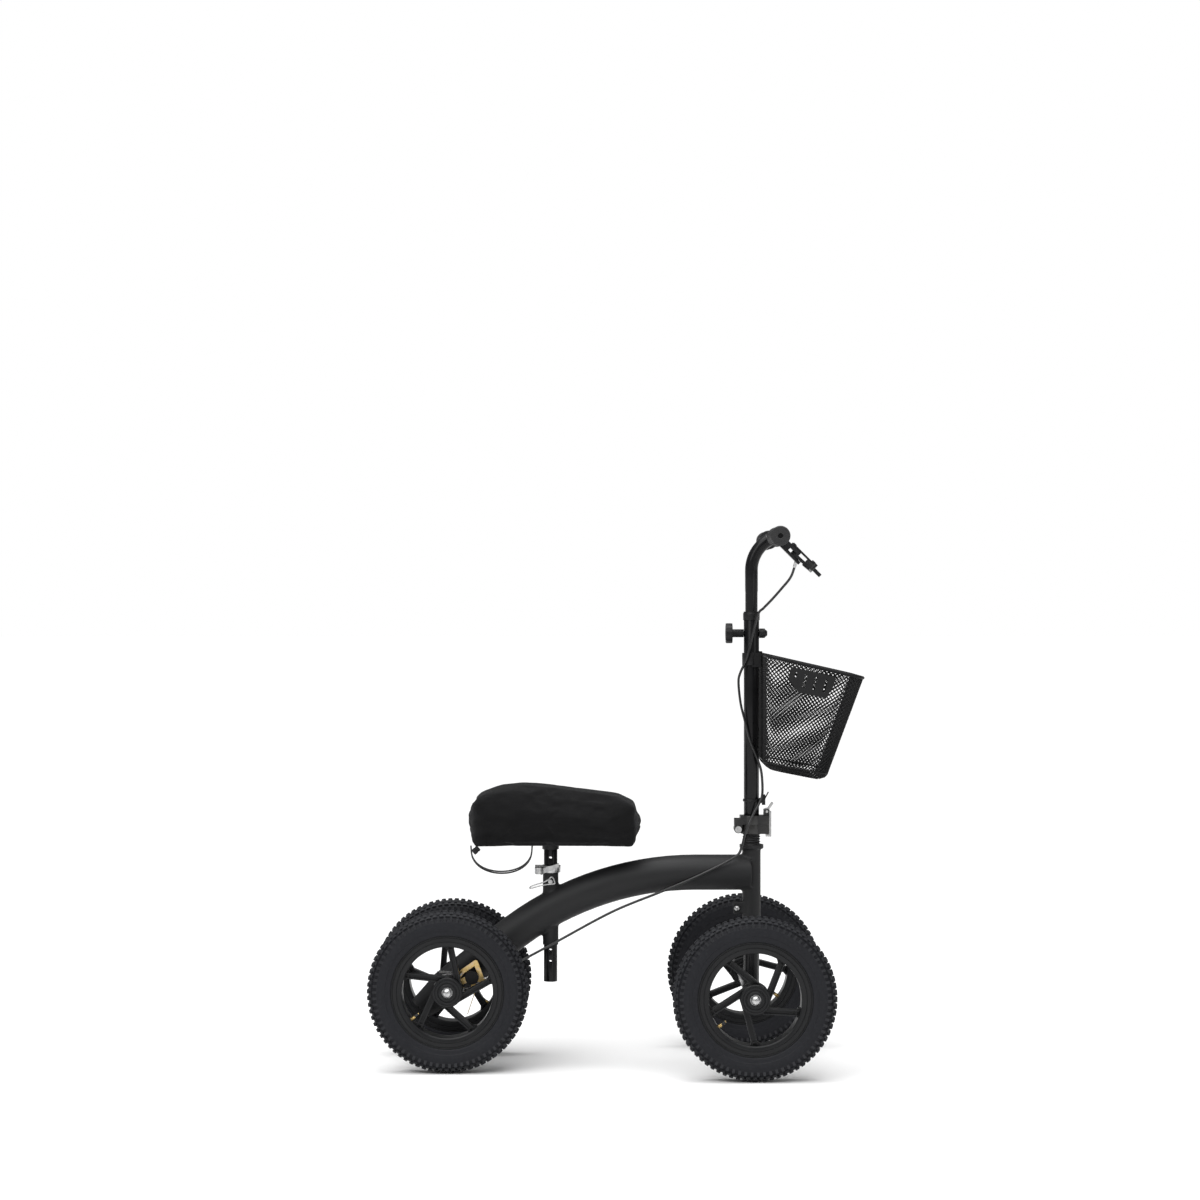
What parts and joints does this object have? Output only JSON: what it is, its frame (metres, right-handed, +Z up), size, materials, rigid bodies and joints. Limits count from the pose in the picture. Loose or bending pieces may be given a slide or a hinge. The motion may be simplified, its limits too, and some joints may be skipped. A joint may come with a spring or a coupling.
{
  "type": "knee scooter",
  "caption": "Steerable knee scooter with four spoked air tyres, curved tube frame, height-set knee pad, folding stem, hand brake and a mesh basket.",
  "frame": {"origin": "on the floor, in the plane of symmetry, half way along the scooter", "axes": "+X forwards, +Y to the rider's left, +Z up"},
  "size_m": [0.9655, 0.47, 1.06],
  "materials": {
    "frame_paint": "matte powder coat",
    "gloss_black_paint": "gloss paint on steel tube",
    "zinc_silver": "bright zinc",
    "zinc_yellow": "yellow zinc",
    "black_plastic": "moulded, lightly textured",
    "hinge_casting": "satin black casting",
    "rim_plastic": "moulded, satin",
    "tyre_rubber": "matte rubber",
    "tube_rubber": "inner tube with a brass valve",
    "grip_rubber": "soft ribbed rubber",
    "cable_sheath": "smooth cable housing",
    "pad_fabric": "black plush cover over foam",
    "cord_fabric": "braided cord",
    "board_wood": "plywood",
    "basket_mesh": "black coated wire mesh, modelled as a thin shell"
  },
  "bodies": {
    "frame": {"main_frame": "frame_paint", "tail_cap": "black_plastic", "headset_bearings": "zinc_silver", "steering_stop_bolt": "zinc_silver", "rear_axle": "zinc_silver", "rear_axle_nuts": "zinc_silver", "seat_clamp_collar": "zinc_silver", "seat_clamp_skewer": "zinc_silver", "brake_bracket": "zinc_yellow", "brake_band": "zinc_silver", "brake_pivot_bolt": "black_plastic", "brake_return_spring": "zinc_silver", "brake_cable_adjuster": "zinc_silver", "frame_brake_cable": "cable_sheath"},
    "clamp_lever": {"seat_clamp_lever": "zinc_silver"},
    "pin": {"safety_pin": "zinc_silver"},
    "brake_arm": {"brake_arm": "zinc_yellow"},
    "seat": {"seat_post": "gloss_black_paint", "pad_bracket": "black_plastic", "pad_board": "board_wood", "knee_pad": "pad_fabric", "pad_drawstring": "cord_fabric"},
    "fork": {"steering_fork": "gloss_black_paint", "front_axle": "zinc_silver", "front_axle_nuts": "zinc_silver", "headset_boot": "grip_rubber", "hinge_base": "hinge_casting", "hinge_pin": "zinc_silver"},
    "stem": {"hinge_head": "hinge_casting", "stem_tube": "gloss_black_paint", "stem_collar": "black_plastic", "basket_bracket": "black_plastic", "stem_brake_cable": "cable_sheath", "height_nut": "black_plastic"},
    "latch": {"latch_lever": "zinc_silver"},
    "handlebar": {"handlebar": "gloss_black_paint", "grips": "grip_rubber", "brake_perch": "black_plastic", "bar_brake_cable": "cable_sheath"},
    "knob": {"height_knob": "black_plastic"},
    "brake_lever": {"brake_lever": "black_plastic"},
    "parking_catch": {"parking_catch": "black_plastic"},
    "basket": {"basket": "basket_mesh"},
    "rear_right_wheel": {"rear_right_rim": "rim_plastic", "rear_right_tyre": "tyre_rubber", "rear_right_tube": "tube_rubber", "rear_right_bearings": "zinc_silver", "brake_drum": "zinc_silver"},
    "rear_left_wheel": {"rear_left_rim": "rim_plastic", "rear_left_tyre": "tyre_rubber", "rear_left_tube": "tube_rubber", "rear_left_bearings": "zinc_silver"},
    "front_right_wheel": {"front_right_rim": "rim_plastic", "front_right_tyre": "tyre_rubber", "front_right_tube": "tube_rubber", "front_right_bearings": "zinc_silver"},
    "front_left_wheel": {"front_left_rim": "rim_plastic", "front_left_tyre": "tyre_rubber", "front_left_tube": "tube_rubber", "front_left_bearings": "zinc_silver"}
  },
  "joints": [
    {"name": "steering", "type": "hinge", "parent": "frame", "child": "fork", "pos_m": [0.2715, 0, 0.35], "axis": [0, 0, 1], "range_deg": [-35, 35]},
    {"name": "stem_fold", "type": "hinge", "parent": "fork", "child": "stem", "pos_m": [0.2445, 0, 0.4655], "axis": [0, 1, 0], "range_deg": [-68, 0]},
    {"name": "handlebar_height", "type": "slide", "parent": "stem", "child": "handlebar", "axis": [0, 0, 1], "range_m": [-0.08, 0.1]},
    {"name": "height_knob_turn", "type": "hinge", "parent": "stem", "child": "knob", "pos_m": [0.22, 0, 0.853], "axis": [1, 0, 0], "range_deg": [-360, 360]},
    {"name": "latch_press", "type": "hinge", "parent": "stem", "child": "latch", "pos_m": [0.3015, 0, 0.5], "axis": [0, -1, 0], "range_deg": [-8, 14]},
    {"name": "brake_squeeze", "type": "hinge", "parent": "handlebar", "child": "brake_lever", "pos_m": [0.34603, -0.104, 1.00847], "axis": [-0.7071, 0, -0.7071], "range_deg": [0, 22]},
    {"name": "parking_catch_turn", "type": "hinge", "parent": "handlebar", "child": "parking_catch", "pos_m": [0.33896, -0.104, 1.01554], "axis": [-0.7071, 0, -0.7071], "range_deg": [0, 14]},
    {"name": "basket_lift", "type": "slide", "parent": "stem", "child": "basket", "axis": [0, 0, 1], "range_m": [0, 0.025]},
    {"name": "seat_height", "type": "slide", "parent": "frame", "child": "seat", "axis": [0, 0, 1], "range_m": [0, 0.1368]},
    {"name": "seat_clamp_swing", "type": "hinge", "parent": "frame", "child": "clamp_lever", "pos_m": [-0.151, -0.0162, 0.386], "axis": [0, 0, -1], "range_deg": [0, 130]},
    {"name": "safety_pin_pull", "type": "slide", "parent": "frame", "child": "pin", "axis": [0, -1, 0], "range_m": [-0.006, 0.028]},
    {"name": "brake_arm_swing", "type": "hinge", "parent": "frame", "child": "brake_arm", "pos_m": [-0.28, -0.065, 0.18], "axis": [0, 1, 0], "range_deg": [-11, 11]},
    {"name": "rear_right_spin", "type": "hinge", "parent": "frame", "child": "rear_right_wheel", "pos_m": [-0.325, -0.105, 0.158], "axis": [0, 1, 0], "continuous": true},
    {"name": "rear_left_spin", "type": "hinge", "parent": "frame", "child": "rear_left_wheel", "pos_m": [-0.325, 0.105, 0.158], "axis": [0, 1, 0], "continuous": true},
    {"name": "front_right_spin", "type": "hinge", "parent": "fork", "child": "front_right_wheel", "pos_m": [0.267, -0.2, 0.158], "axis": [0, 1, 0], "continuous": true},
    {"name": "front_left_spin", "type": "hinge", "parent": "fork", "child": "front_left_wheel", "pos_m": [0.267, 0.2, 0.158], "axis": [0, 1, 0], "continuous": true}
  ],
  "couplings": [
    {"joint": "brake_arm_swing", "follows": "brake_squeeze", "ratio": 0.5}
  ]
}
